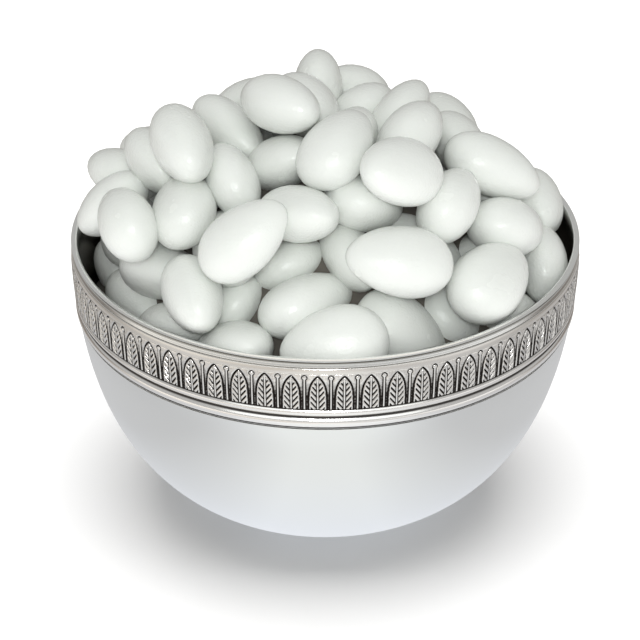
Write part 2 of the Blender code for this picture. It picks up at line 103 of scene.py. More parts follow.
class Wire:
    """A value in a finish's node tree that Python's own operators work on."""

    def __init__(self, finish, socket):
        self.finish = finish
        self.socket = socket

    def math(self, operation, *others):
        values = dict(enumerate((self, *others)))
        return self.finish.node("ShaderNodeMath", {"operation": operation}, values)

    def __add__(self, other):
        return self.math("ADD", other)

    def __sub__(self, other):
        return self.math("SUBTRACT", other)

    def __rsub__(self, other):
        return (self * -1.0) + other

    def __mul__(self, other):
        return self.math("MULTIPLY", other)

    def __truediv__(self, other):
        return self.math("DIVIDE", other)

    def __pow__(self, other):
        return self.math("POWER", other)

    def __abs__(self):
        return self.math("ABSOLUTE")

    __radd__ = __add__
    __rmul__ = __mul__


class Finish:
    """A material in the making. node() adds any node and gives back one of its outputs."""

    def __init__(self, name):
        self.material = bpy.data.materials.new(name)
        self.material.use_nodes = True
        self.shader = self.material.node_tree.nodes["Principled BSDF"]

    def plug(self, socket, value):
        if isinstance(value, Wire):
            self.material.node_tree.links.new(value.socket, socket)
        else:
            socket.default_value = value

    def node(self, kind, settings, values, output=0):
        node = self.material.node_tree.nodes.new(kind)
        for name, value in settings.items():
            setattr(node, name, value)
        for name, value in values.items():
            self.plug(node.inputs[name], value)
        return Wire(self, node.outputs[output])

    def noise(self, place, scale, detail=2.0):
        return self.node("ShaderNodeTexNoise", {}, {"Vector": place, "Scale": scale, "Detail": detail})

    def blend(self, factor, first, second):
        """A colour from first at factor 0 to second at factor 1."""
        values = {0: factor}
        for place, colour in ((6, first), (7, second)):
            values[place] = colour if isinstance(colour, Wire) else (*colour, 1.0)
        return self.node("ShaderNodeMix", {"data_type": "RGBA"}, values, output=2)

    def place(self):
        return self.node("ShaderNodeTexCoord", {}, {}, output="Object")

    def bump(self, height, distance, strength=1.0):
        values = {"Height": height, "Distance": distance, "Strength": strength}
        return self.node("ShaderNodeBump", {}, values)

    def shade(self, **sockets):
        """Sets the shader's sockets, named with _ for a space."""
        for name, value in sockets.items():
            self.plug(self.shader.inputs[name.replace("_", " ")], value)
        return self.material


# Profile of the bowl as (radius, height): the inner face, the lip with a groove under it, and the outside
lip_bottom = RIM_HEIGHT - 0.0006
inside = [(float(inner_radius(z)), z) for z in wall_heights(lip_bottom, WALL, SIDE_RINGS)]
inside[-1] = (0.0, WALL)
lip = [
    (RIM_RADIUS - WALL, lip_bottom), (RIM_RADIUS - WALL + 0.0002, RIM_HEIGHT - 0.0002),
    (RIM_RADIUS - WALL + 0.0006, RIM_HEIGHT), (RIM_RADIUS - 0.0008, RIM_HEIGHT),
    (RIM_RADIUS - 0.0003, RIM_HEIGHT - 0.0001), (RIM_RADIUS, RIM_HEIGHT - 0.0004),
    (RIM_RADIUS - 0.0001, RIM_HEIGHT - 0.0006), (RIM_RADIUS - 0.0006, RIM_HEIGHT - 0.0008),
    (RIM_RADIUS - 0.0009, RIM_HEIGHT - 0.0010), (RIM_RADIUS - 0.0008, RIM_HEIGHT - 0.0013),
    (RIM_RADIUS - 0.0003, RIM_HEIGHT - 0.0016), (RIM_RADIUS - 0.0002, RIM_HEIGHT - 0.0020),
    (RIM_RADIUS - 0.00012, RIM_HEIGHT - 0.0022), (RIM_RADIUS - 0.00008, RIM_HEIGHT - RING_TOP + CLEARANCE),
    (RIM_RADIUS - SEAT_DEPTH, RIM_HEIGHT - RING_TOP + CLEARANCE),
]
seat_bottom = RIM_HEIGHT - RING_BOTTOM - CLEARANCE
outside = [(float(outer_radius(seat_bottom)) - SEAT_DEPTH, seat_bottom)]
outside += [(float(outer_radius(z)), z) for z in wall_heights(seat_bottom, 0.0, SIDE_RINGS)
            if outer_radius(z) > FOOT_RADIUS * 1.15]
foot = [(FOOT_RADIUS, 0.0), (0.0, 0.0)]
bowl_wall = turned("bowl_wall", inside[::-1] + lip[1:] + outside + foot, WALL_COLUMNS)

# Painted shade: the inner face, and the groove that runs round under the lip, are given a dark colour for the
# shade that falls there.
spots = np.array([vert.co for vert in bowl_wall.data.vertices])
reach = np.hypot(spots[:, 0], spots[:, 1])
drop = RIM_HEIGHT - spots[:, 2]
inner_face = (reach < inner_radius(spots[:, 2]) + 0.0001) & (drop > 0.001)
groove = (reach > RIM_RADIUS - 0.00095) & (reach < RIM_RADIUS - 0.0007) & (drop < 0.0014) & (drop > 0.0005)
shade_marks = bowl_wall.data.attributes.new("painted_shade", "FLOAT", "POINT")
shade_marks.data.foreach_set("value", (inner_face | groove).astype(float))

silver = Finish("silver")
where = silver.place()
cloudy = silver.noise(where, 25.0, 1.0)
# This mask paints shade: it darkens the inner face and the groove under the lip.
painted_shade = silver.node("ShaderNodeAttribute", {"attribute_name": "painted_shade"}, {}, output="Fac")
bowl_wall.data.materials.append(silver.shade(
    Base_Color=silver.blend(painted_shade, silver.blend(cloudy, SILVER, CLOUDY_SILVER), INSIDE_SHADE),
    Metallic=1.0,
    Roughness=0.20 + 0.05 * cloudy,
))
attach(bowl_wall, "root")
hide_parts("bowl")

# The border is a rolled silver strip with upright leaves and, between them, stems with a ball on top.
# Its ground is blackened, and the high places are rubbed bright; the two creases under the leaves are painted
# dark as painted shade. Its relief is real, one grid bent round.
LEAF_TOP = 0.0045
LEAF_BOTTOM = 0.0161
LEAF_COUNT = 64
FIRST_LEAF = math.radians(-90.0 - 1.66)
LEAF_COLUMNS = 30
LEAF_ROWS = 34
LEAF_HALF_WIDTH = 2.45
LEAF_HEIGHT = 10.9
LEAF_POINT = 4.6
VEIN_STEP = 1.89
VEIN_SLOPE = 1.33
BALL_HEIGHT = 10.45
PITCH = 2000.0 * math.pi * RIM_RADIUS / LEAF_COUNT
RELIEF = 0.0006
FIELD_PROUD = -0.00034
# Black of the patina in the ground between the leaves, and of the painted shade in the two creases
PATINA_AND_SHADE_BLACK = (0.024, 0.020, 0.018)
RUBBED = (0.86, 0.85, 0.83)
STRIP_SILVER = (0.83, 0.815, 0.785)
CLOUDY_STRIP = (0.79, 0.775, 0.745)
BEAD_SILVER = (0.96, 0.95, 0.935)
# Ramps of the relief, in millimetres: where it starts and where it ends
LEAF_EDGE = (0.02, 0.25)
VEIN_FLANK = (0.30, 0.12)
VEIN_END = (0.35, 0.60)
VEIN_DEPTH = 0.88
MIDRIB_GROOVE = (0.55, 0.35)
MIDRIB_END = (0.6, 1.0)
MIDRIB = (0.12, 0.32)
STEM_FLANK = (0.38, 0.16)
BALL_FLANK = (0.72, 0.52)
GROUND_BY_STEM = (0.40, 0.62)
GROUND_BY_BALL = (0.74, 0.98)
GROUND_BY_LEAF = (0.22, 0.40)
GROUND_ABOVE = (0.0, 0.4)
GROUND_RISE = (4.0, 9.5)
FIELD_FOOT = (-0.05, 0.25)


def least(one, two):
    return one.math("MINIMUM", two) if isinstance(one, Wire) else np.minimum(one, two)


def most(one, two):
    return one.math("MAXIMUM", two) if isinstance(one, Wire) else np.maximum(one, two)


def wave(value):
    """How far a value is from its nearest whole number."""
    shifted = value + 0.5
    part = shifted.math("FRACT") if isinstance(value, Wire) else np.mod(shifted, 1.0)
    return abs(part - 0.5)


def rise(low, high, value):
    """0 up to low, 1 from high on, and a straight ramp between."""
    return most(least((value - low) / (high - low), 1.0), 0.0)


def leaf_relief(across, up):
    """Height of the border, 0 to 1, at millimetres across from a leaf's middle and up from its foot.

    It works on arrays for the mesh, and on Wires for the dark ground of the finish.
    """
    side = abs(across)
    high = most(up, 0.0) / LEAF_HEIGHT
    edge = (LEAF_HALF_WIDTH * (1.0 - high ** LEAF_POINT) - side) * (1.0 - 0.3 * least(high, 1.0) ** 3.6)
    vein = wave((up - VEIN_SLOPE * side) / VEIN_STEP) * VEIN_STEP * 0.6
    veins = rise(*VEIN_FLANK, vein) * rise(*VEIN_END, edge)
    veins = most(veins, rise(*MIDRIB_GROOVE, side) * rise(*MIDRIB_END, edge)) * rise(*MIDRIB, side)
    leaf = rise(*LEAF_EDGE, edge) * (1.0 - VEIN_DEPTH * veins)
    beside = PITCH / 2 - side
    stem = rise(*STEM_FLANK, beside) * rise(BALL_HEIGHT, BALL_HEIGHT - 0.5, up)
    ball = ((beside * beside) + (up - BALL_HEIGHT) * (up - BALL_HEIGHT)) ** 0.5
    dart = most(stem, rise(*BALL_FLANK, ball))
    off_ball = rise(*GROUND_BY_BALL, ball)
    between = least(rise(*GROUND_BY_STEM, beside), off_ball) * rise(*GROUND_BY_LEAF, edge * -1.0)
    ground = most(between, rise(*GROUND_ABOVE, up - LEAF_HEIGHT) * off_ball)
    ground = ground * (0.36 + 0.44 * rise(*GROUND_RISE, up))
    return most(most(leaf, dart), ground) * rise(*FIELD_FOOT, up)


# How far the plain bands over and under the leaves stand proud, as (depth under the rim, proud)
bands = [(RING_TOP, 0.0), (0.0030, 0.00005), (0.0035, 0.0001), (0.0042, 0.00008), (LEAF_TOP, 0.00005)]
feet = [
    (LEAF_BOTTOM + 0.0001, -0.0002), (0.0165, -0.0002), (0.0167, 0.0001), (0.0171, 0.0003), (0.0177, 0.0003),
    (0.0182, 0.0001), (0.0185, -0.0002), (0.0188, -0.0003), (0.0192, -0.0003), (0.0195, -0.0001),
    (0.0199, 0.0003), (0.0206, 0.0005), (0.0213, 0.0005), (0.0219, 0.0003), (0.0222, 0.0000),
    (0.0225, -0.0002), (RING_BOTTOM, -0.0001),
]
field = np.linspace(LEAF_TOP, LEAF_BOTTOM, LEAF_ROWS + 2)[1:-1]
deeps = np.array([deep for deep, _ in bands] + list(field) + [deep for deep, _ in feet])
prouds = np.array([proud for _, proud in bands] + [0.0] * LEAF_ROWS + [proud for _, proud in feet])
columns = LEAF_COUNT * LEAF_COLUMNS
turns = FIRST_LEAF + 2.0 * math.pi * (np.arange(columns) / LEAF_COLUMNS) / LEAF_COUNT
across = (np.mod(np.arange(columns) / LEAF_COLUMNS + 0.5, 1.0) - 0.5) * PITCH
up = (LEAF_BOTTOM - deeps) * 1000.0
relief = leaf_relief(across[None, :], up[:, None]) * RELIEF + FIELD_PROUD
in_field = (deeps > LEAF_TOP + 0.00001) & (deeps < LEAF_BOTTOM)
prouds = np.where(in_field[:, None], relief, prouds[:, None])
radii = outer_radius(RIM_HEIGHT - deeps)[:, None] + prouds
back = [RING_BOTTOM, RING_TOP]
radii = np.concatenate([radii, np.repeat(outer_radius(RIM_HEIGHT - np.array(back))[:, None], columns, 1)
                        - SEAT_DEPTH + CLEARANCE])
deeps = np.concatenate([deeps, back])
rows = len(deeps)
border_mesh = bmesh.new()
bmesh.ops.create_grid(border_mesh, x_segments=columns - 1, y_segments=rows - 1, size=1.0)
border_mesh.verts.ensure_lookup_table()
grid_x = np.array([vert.co.x for vert in border_mesh.verts])
grid_y = np.array([vert.co.y for vert in border_mesh.verts])
column = np.rint((grid_x + 1.0) / 2.0 * (columns - 1)).astype(int)
row = np.rint((1.0 - grid_y) / 2.0 * (rows - 1)).astype(int)
for vert, i, j in zip(border_mesh.verts, row, column):
    vert.co = (radii[i, j] * math.cos(turns[j]), radii[i, j] * math.sin(turns[j]), RIM_HEIGHT - deeps[i])
by_place = {(i, j): vert for vert, i, j in zip(border_mesh.verts, row, column)}
last = columns - 1
for i in range(rows - 1):
    border_mesh.faces.new((by_place[i, last], by_place[i + 1, last], by_place[i + 1, 0], by_place[i, 0]))
for j in range(columns):
    k = (j + 1) % columns
    border_mesh.faces.new((by_place[rows - 1, j], by_place[0, j], by_place[0, k], by_place[rows - 1, k]))
bmesh.ops.recalc_face_normals(border_mesh, faces=border_mesh.faces[:])
leaf_border = bpy.data.objects.new("leaf_border", bpy.data.meshes.new("leaf_border"))
border_mesh.to_mesh(leaf_border.data)
border_mesh.free()
leaf_border.data.shade_smooth()
bpy.context.scene.collection.objects.link(leaf_border)

old_silver = Finish("oxidised_silver")
where = old_silver.place()
apart = {name: old_silver.node("ShaderNodeSeparateXYZ", {}, {0: where}, output=name) for name in "XYZ"}
turn = apart["Y"].math("ARCTAN2", apart["X"]) - FIRST_LEAF
leaf_part = (turn * (LEAF_COUNT / (2.0 * math.pi)) + 0.5 + LEAF_COUNT).math("FRACT")
across_wire = (leaf_part - 0.5) * PITCH
up_wire = (apart["Z"] - (RIM_HEIGHT - LEAF_BOTTOM)) * 1000.0
raised = leaf_relief(across_wire, up_wire)
in_field_wire = rise(-0.55, -0.35, up_wire) * rise(LEAF_HEIGHT + 0.70, LEAF_HEIGHT + 0.55, up_wire)
depth_mm = (RIM_HEIGHT - apart["Z"]) * 1000.0
# Two creases run round the strip under the leaves, 18.95 and 22.45 mm under the rim; they are painted dark,
# as painted shade in the grooves.
crease_shade = most(rise(0.60, 0.30, abs(depth_mm - 18.95)), rise(0.30, 0.14, abs(depth_mm - 22.45)))
grime = old_silver.noise(where, 1900.0, 3.0)
patina_and_shade = rise(0.80, 0.33, raised + 0.7 * (grime - 0.5)) * in_field_wire
# The dark mask is the blackened ground between the leaves, which is patina, and the painted shade of the two
# creases.
patina_and_shade = most(patina_and_shade, crease_shade * 0.95)
tone = old_silver.blend(old_silver.noise(where, 60.0), STRIP_SILVER, CLOUDY_STRIP)
tone = old_silver.blend(rise(0.6, 0.9, raised) * in_field_wire, tone, RUBBED)
tone = old_silver.blend(rise(16.4, 16.7, depth_mm), tone, BEAD_SILVER)
leaf_border.data.materials.append(old_silver.shade(
    Base_Color=old_silver.blend(patina_and_shade, tone, PATINA_AND_SHADE_BLACK),
    Metallic=1.0,
    Roughness=0.20 + 0.30 * patina_and_shade,
    Normal=old_silver.bump(raised * in_field_wire, 0.0002, 0.5),
))
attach(leaf_border, "root")
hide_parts("rim_border")

# The almonds are roasted kernels in a hard white sugar shell, about 30 mm long, heaped loosely.
# Those that the photograph shows lie where it shows them; the rest fill the heap by a rule.
HEAP_RISE = 0.052
HEAP_REACH = 0.98 * RIM_RADIUS
HEAP_POWER = 1.6
ALMOND_LENGTH = 0.030
ALMOND_WIDTH = 0.0205
ALMOND_THICKNESS = 0.016
TAPER = 0.16
LOOK_REACH = 0.13
LOOK_STEPS = 1301
LEAST_FACING = 0.45
SMALLEST_SIZE = 0.97
LARGEST_SIZE = 1.05
LEAST_FLATNESS = 0.82
LEAST_HALF_THICKNESS = 0.0072
MOST_TILT_SHARE = 0.9
CENTRE_INSET = 0.0070
LAYER_DROP = 0.0080
SEED = 11
SETTLE_STEPS = 160
SETTLE_POINTS = 90
STEP_SHARE = 0.7
FIRST_SIZE = 0.8
SIZE_GAIN = 0.3
NEIGHBOUR_REACH = 0.033
LEAST_DEPTH_SHARE = 0.2
ORDER_WEIGHT = 2.0
SKYLINE_EVERY = 5
SIDEWAYS_GIVE = 0.05
DEEP = 0.0012
PULL_HOME = 0.007
PULL_ASIDE = 0.07
LAST_SIZE = 0.90
LEAST_INSET = -0.006
MOST_INSET = 0.030
BAND_PULL = 0.05
MOST_LOWERING = 0.0003
FILL_TRIES = 700
FILL_INSET = 0.0120
FILL_REACH = 0.97
FILL_LEAN = 0.4
FILL_GAP = 0.0163
SKYLINE_LEAVE = 4.0
SKYLINE_REACH = 4
SIZE_SPREAD = 0.05

# Camera of the photograph, which is 640 pixels wide and high
PHOTO_SIDE = 640
FOCAL_PX = 2661.0
CAMERA_DISTANCE = 10.5 * RIM_RADIUS
CAMERA_RISE = math.radians(28.5)
RIM_CENTRE_PX = (325.2, 229.0)

# Almonds that the photograph shows, back ones first. Each is read from it: middle x and y,
# half length and half width in pixels, direction of the pointed end in degrees, and layer.
SHOWN = {
    "D1": (449, 124, 22, 17, -45, 2), "B11": (157, 150, 19, 16, 0, 2), "A1": (108, 173, 26, 18, 160, -1),
    "C1": (357, 92, 31, 27, -15, 3), "B7": (318, 84, 33, 20, 88, 2), "B8": (250, 106, 37, 26, 25, 2),
    "D6": (440, 158, 20, 14, -50, 2), "C2": (364, 109, 27, 23, 30, 1), "C3": (400, 114, 39, 24, 55, 1),
    "C10": (351, 142, 30, 27, 70, 2), "D2": (458, 146, 33, 26, -50, 1), "B10": (150, 168, 26, 17, -55, 2),
    "A2": (116, 200, 40, 26, 220, -1), "B2": (230, 131, 41, 24, -43, 1), "B9": (306, 106, 34, 29, -40, 2),
    "B5": (282.5, 105, 38.5, 28, -17, 1), "C4": (411, 135, 37, 28, 52, 1), "B1": (181, 145.5, 38, 29, -65, 0),
    "A7": (107, 273, 35, 24, -58, 1), "A8": (142, 302, 38, 27, -45, 2), "A9": (176, 324, 28, 20, 0, 2),
    "A3": (125, 223, 37, 29, 120, -1), "A4": (180.5, 208, 38, 32.5, 92, 0), "B3": (230, 177, 37, 26, 115, 0),
    "B4": (283, 162, 31, 27, 20, 1), "G5": (541, 205, 30, 18, -70, 2), "G3": (535, 290, 24, 18, -60, 2),
    "G4": (507, 312, 26, 20, -20, 2), "G2": (550, 262, 37, 20, 95, 1), "D5": (483, 256, 28, 23, 10, 2),
    "D3": (492, 168, 50, 29, -25, 0), "D4": (507, 228, 36, 29.5, -10, 0), "F6": (450, 203, 38, 29, 60, 0),
    "C5": (400, 172, 41, 34.5, 183, 0), "B6": (337, 148, 44.5, 32.5, 58, 0), "F4": (415, 250, 50, 33, -20, 1),
    "F5": (350, 257, 25, 23, -60, 1), "C6": (364, 206, 33, 28, -10, 0), "C8": (301, 214, 39, 29, -5, 0),
    "C9": (294, 262, 36, 24, 28, 3), "A5": (162, 273, 40, 29, -12, 1), "E1": (241, 302, 31, 25, 55, 1),
    "E4": (270, 352, 26, 20, 0, 1), "C7": (244.5, 239.5, 51.5, 33, 40, 0), "E2": (237, 350, 32, 29, 10, 1),
    "A6": (189, 300, 39, 30, -70, 0), "E3": (308, 304, 50, 31, 22, 0), "F7": (450, 322, 38, 30, -40, 2),
    "F2": (403, 333, 52, 34, -35, 1), "F3": (399, 261, 54.5, 36, 175, 0), "F1": (335, 346, 55, 40, 190, 0),
    "G1": (489.5, 280.5, 45.5, 37.5, 48, 0),
}


class Photo:
    """The camera of the photograph: pixels to rays, and points to pixels."""

    def __init__(self):
        middle = PHOTO_SIDE / 2
        pitch = CAMERA_RISE + math.atan((middle - RIM_CENTRE_PX[1]) / FOCAL_PX)
        self.middle = middle
        self.right = np.array([1.0, 0.0, 0.0])
        self.axis = np.array([0.0, math.cos(pitch), -math.sin(pitch)])
        self.up = np.cross(self.right, self.axis)
        aside = (middle - RIM_CENTRE_PX[0]) / FOCAL_PX * CAMERA_DISTANCE
        self.eye = np.array([aside, -CAMERA_DISTANCE * math.cos(CAMERA_RISE),
                             RIM_HEIGHT + CAMERA_DISTANCE * math.sin(CAMERA_RISE)])

    def ray(self, x, y):
        way = self.axis + ((x - self.middle) * self.right + (self.middle - y) * self.up) / FOCAL_PX
        return way / np.linalg.norm(way)

    def pixels(self, points):
        away = np.asarray(points) - self.eye
        depth = away @ self.axis
        return np.stack([self.middle + FOCAL_PX * (away @ self.right) / depth,
                         self.middle - FOCAL_PX * (away @ self.up) / depth], axis=-1)


def heap_height(r):
    return RIM_HEIGHT + HEAP_RISE * (1.0 - (r / HEAP_REACH) ** HEAP_POWER)


def heap_normal(x, y):
    r = max(math.hypot(x, y), 1e-6)
    slope = HEAP_RISE * HEAP_POWER / HEAP_REACH * (r / HEAP_REACH) ** (HEAP_POWER - 1.0)
    normal = np.array([slope * x / r, slope * y / r, 1.0])
    return normal / np.linalg.norm(normal)


def meet_heap(photo, way):
    """Where a ray first meets the heap's mean surface, or passes it closest."""
    along = np.linspace(CAMERA_DISTANCE - LOOK_REACH, CAMERA_DISTANCE + LOOK_REACH, LOOK_STEPS)
    points = photo.eye + along[:, None] * way
    above = points[:, 2] - heap_height(np.hypot(points[:, 0], points[:, 1]))
    under = np.nonzero(above <= 0.0)[0]
    return along[under[0] if len(under) else np.argmin(above)]


def unit(vector):
    return vector / np.linalg.norm(vector)


def shown_almond(photo, draw, x, y, half_long, half_short, angle, layer):
    """Middle, axes and half sizes of an almond whose outline in the photograph is given."""
    way = photo.ray(x, y)
    along = meet_heap(photo, way)
    surface = photo.eye + along * way
    normal = heap_normal(surface[0], surface[1])
    facing = max(LEAST_FACING, -way @ normal)
    along += (CENTRE_INSET + LAYER_DROP * layer) / facing
    middle = photo.eye + along * way
    metres_per_px = (middle - photo.eye) @ photo.axis / FOCAL_PX
    long_seen = half_long * metres_per_px
    short_seen = half_short * metres_per_px

    size = draw.uniform(SMALLEST_SIZE, LARGEST_SIZE)
    half = np.array([ALMOND_LENGTH, ALMOND_WIDTH, ALMOND_THICKNESS]) / 2 * size
    half[0] = max(half[0], long_seen)
    half[1] = max(half[1], short_seen)
    half[2] = min(max(half[2], LEAST_FLATNESS * half[1]), max(short_seen, LEAST_HALF_THICKNESS))

    turn = math.radians(angle)
    flat = unit(math.cos(turn) * photo.right + math.sin(turn) * photo.up)
    flat = unit(flat - (flat @ way) * way)
    end_on = min(half[1], (half[1] + half[2]) / 2)
    share = (half[0] ** 2 - long_seen ** 2) / (half[0] ** 2 - end_on ** 2)
    tilt = math.asin(math.sqrt(min(max(share, 0.0), MOST_TILT_SHARE)))
    lies = -(flat @ normal) / min(way @ normal, -0.2)
    tilt = math.copysign(tilt, lies)
    long_axis = math.cos(tilt) * flat + math.sin(tilt) * way

    aside = unit(np.cross(way, flat))
    back = unit(np.cross(long_axis, aside))
    if back @ way > 0:
        back = -back
    share = (half[1] ** 2 - short_seen ** 2) / max(half[1] ** 2 - half[2] ** 2, 1e-9)
    roll = math.asin(math.sqrt(min(max(share, 0.0), 1.0)))
    roll = math.copysign(roll, normal @ aside)
    thin_axis = math.cos(roll) * back + math.sin(roll) * aside
    return middle, np.stack([long_axis, np.cross(thin_axis, long_axis), thin_axis]), half


def sphere_points(count):
    """Evenly spread points on a unit sphere, on a golden spiral about x."""
    step = np.arange(count) + 0.5
    polar = np.arccos(1.0 - 2.0 * step / count)
    round_x = math.pi * (1.0 + math.sqrt(5.0)) * step
    return np.stack([np.cos(polar), np.sin(polar) * np.cos(round_x), np.sin(polar) * np.sin(round_x)], axis=1)


def almond_form(ball, half):
    """A ball's points as an almond: pointed towards +x, with half sizes half."""
    narrow = 1.0 - TAPER * ball[..., :1]
    return ball * half * np.concatenate([np.ones_like(narrow), narrow, narrow], axis=-1)


def skyline(photo, world):
    """The highest pixel row that the points reach, for each pixel column."""
    sky = np.full(PHOTO_SIDE, float(PHOTO_SIDE))
    seen = photo.pixels(world.reshape(-1, 3))
    for x, y in seen:
        column = int(round(x))
        low, high = max(column - SKYLINE_REACH, 0), min(column + SKYLINE_REACH + 1, PHOTO_SIDE)
        sky[low:high] = np.minimum(sky[low:high], y)
    return sky


def pushed(give, direction, depth):
    """Moves of the given depth along each direction, made the way that each almond gives."""
    direction = direction / np.linalg.norm(direction, axis=1)[:, None]
    move = np.einsum("nij,nj->ni", give, direction)
    return move * (depth / (move * direction).sum(axis=1))[:, None]


def settle(photo, almonds, loose, steps):
    """Push overlapping almonds apart, the shown ones mostly along their line of sight.

    almonds is a list of (middle, axes, half); those from number loose on move freely. They are pushed
    apart at LAST_SIZE of their size, so at full size they press into one another by some millimetres.
    The overlap given back is the deepest one at LAST_SIZE.
    """
    ball = sphere_points(SETTLE_POINTS)
    middle = np.array([almond[0] for almond in almonds])
    axes = np.array([almond[1] for almond in almonds])
    half = np.array([almond[2] for almond in almonds])
    home = middle.copy()
    way = middle - photo.eye
    way /= np.linalg.norm(way, axis=1)[:, None]
    give = np.einsum("ni,nj->nij", way, way) * (1.0 - SIDEWAYS_GIVE) + np.eye(3) * SIDEWAYS_GIVE
    give[loose:] = np.eye(3)
    form = almond_form(ball[None], half[:, None])
    for step in range(steps):
        grown = min(LAST_SIZE, FIRST_SIZE + SIZE_GAIN * step / steps)
        world = middle[:, None] + grown * form @ axes
        gap = np.linalg.norm(middle[:, None] - middle[None], axis=2)
        one, two = np.nonzero((gap < NEIGHBOUR_REACH) & (gap > 0.0))
        probe = np.einsum("pmi,pji->pmj", world[one] - middle[two][:, None], axes[two]) / grown
        sizes = half[two][:, None]
        narrow = 1.0 - TAPER * np.clip(probe[..., :1] / sizes[..., :1], -1.0, 1.0)
        sizes = sizes * np.concatenate([np.ones_like(narrow), narrow, narrow], axis=-1)
        reach = np.sqrt(((probe / sizes) ** 2).sum(axis=2))
        deepest = reach.argmin(axis=1)
        pick = np.arange(len(one))
        hit = reach[pick, deepest] < 1.0
        pick, deepest, one, two = pick[hit], deepest[hit], one[hit], two[hit]
        probe, sizes, reach = probe[pick, deepest], sizes[pick, deepest], reach[pick, deepest]
        outward = probe / sizes ** 2
        outward /= np.linalg.norm(outward, axis=1)[:, None]
        depth = (probe * outward).sum(axis=1) * (1.0 / np.maximum(reach, LEAST_DEPTH_SHARE) - 1.0) * grown
        push = np.einsum("pi,pij->pj", outward, axes[two])
        # Deep overlaps of two shown almonds part in the order in which the photograph shows them.
        behind = np.where((depth > DEEP) & (one < loose) & (two < loose), np.sign(two - one), 0)
        push += ORDER_WEIGHT * behind[:, None] * way[one]
        push /= np.linalg.norm(push, axis=1)[:, None]
        one_way = np.einsum("pij,pj->pi", give[one], push)
        two_way = np.einsum("pij,pj->pi", give[two], push)
        share = 0.5 * depth / ((one_way + two_way) * push).sum(axis=1)
        move = np.zeros_like(middle)
        np.add.at(move, one, one_way * share[:, None])
        np.add.at(move, two, -two_way * share[:, None])
        middle += STEP_SHARE * move

        # Nothing floats over the heap's surface, and nothing sinks deep into it.
        x, y, z = middle.T
        spread = np.maximum(np.hypot(x, y), 0.001)
        slope = HEAP_RISE * HEAP_POWER * spread ** (HEAP_POWER - 1.0) / HEAP_REACH ** HEAP_POWER
        normal = np.stack([slope * x / spread, slope * y / spread, np.ones(len(x))], axis=1)
        normal /= np.linalg.norm(normal, axis=1)[:, None]
        under = (RIM_HEIGHT + HEAP_RISE * (1.0 - (spread / HEAP_REACH) ** HEAP_POWER) - z) * normal[:, 2]
        out = np.minimum(under - LEAST_INSET, 0.0) + np.maximum(under - MOST_INSET, 0.0)
        middle += BAND_PULL * out[:, None] * normal

        world = middle[:, None] + form @ axes
        radius = np.hypot(world[..., 0], world[..., 1])
        excess = (radius - inner_radius(world[..., 2]) + CLEARANCE).max(axis=1)
        outward = np.stack([middle[:, 0], middle[:, 1], np.zeros(len(middle))], axis=1)
        middle -= pushed(give, outward, np.maximum(excess, 0.0))

        off = home - middle
        along = (off * way).sum(axis=1)[:, None] * way
        middle += PULL_ASIDE * (off - along) + PULL_HOME * along
        if loose < len(almonds) and step % SKYLINE_EVERY == 0:
            sky = skyline(photo, world[:loose])
            seen = photo.pixels(world[loose:])
            column = np.clip(np.round(seen[..., 0]).astype(int), 0, PHOTO_SIDE - 1)
            over = (sky[column] + 1.0 - seen[..., 1]).max(axis=1) * CAMERA_DISTANCE / FOCAL_PX
            middle[loose:, 2] -= np.clip(over, 0.0, MOST_LOWERING)
    overlap = depth.max() if len(depth) else 0.0
    return [(middle[i], axes[i], half[i]) for i in range(len(almonds))], overlap


def fill_round(photo, draw, almonds):
    """Almonds lying at random on the heap, where the shown ones leave room and hide them."""
    ball = sphere_points(SETTLE_POINTS)
    world = np.array([middle + almond_form(ball, half) @ axes for middle, axes, half in almonds])
    sky = skyline(photo, world)
    more = []
    for number in range(FILL_TRIES):
        r = FILL_REACH * HEAP_REACH * math.sqrt((number + 0.5) / FILL_TRIES)
        turn = number * math.pi * (3.0 - math.sqrt(5.0))
        x, y = r * math.cos(turn), r * math.sin(turn)
        normal = heap_normal(x, y)
        middle = np.array([x, y, heap_height(r)]) - FILL_INSET * normal
        if any(np.linalg.norm(middle - other[0]) < FILL_GAP for other in almonds + more):
            continue
        lean = unit(normal + np.array([draw.uniform(-FILL_LEAN, FILL_LEAN) for _ in range(3)]))
        spin = draw.uniform(0.0, 2.0 * math.pi)
        long_axis = unit(np.cross(lean, [math.cos(spin), math.sin(spin), 0.1]))
        half = np.array([ALMOND_LENGTH, ALMOND_WIDTH, ALMOND_THICKNESS]) / 2
        half *= 1.0 + draw.uniform(-SIZE_SPREAD, SIZE_SPREAD)
        axes = np.stack([long_axis, np.cross(lean, long_axis), lean])
        seen = photo.pixels(middle + almond_form(ball, half) @ axes)
        column = np.clip(np.round(seen[:, 0]).astype(int), 0, PHOTO_SIDE - 1)
        if (sky[column] - seen[:, 1]).max() < SKYLINE_LEAVE:
            more.append((middle, axes, half))
    return more


def heap_places():
    """Every almond of the heap as (middle, axes, half sizes), the shown ones first."""
    photo = Photo()
    draw = random.Random(SEED)
    shown = [shown_almond(photo, draw, *row) for row in SHOWN.values()]
    shown, _ = settle(photo, shown, len(shown), SETTLE_STEPS)
    more = fill_round(photo, draw, shown)
    places, overlap = settle(photo, shown + more, len(shown), SETTLE_STEPS)
    print(len(shown), "almonds shown,", len(more), "more, largest overlap", round(overlap * 1000, 2),
          "mm at", LAST_SIZE, "of their size")
    return places


BED_TRIES = 2600
BED_TOP = 0.0130
BED_BOTTOM = 0.0330
BED_REACH = 0.93
BED_SMALLEST = 0.90
BED_NEIGHBOUR_REACH = 0.031
BED_PRESSED = 0.92
SHELL_SIDES = 28
SHELL_RINGS = 20
LUMP = 0.026
LUMP_WAVES = 5
LUMP_SPREAD = 1.3
SUGAR = (0.868, 0.884, 0.858)
DULL_SUGAR = (0.820, 0.840, 0.808)


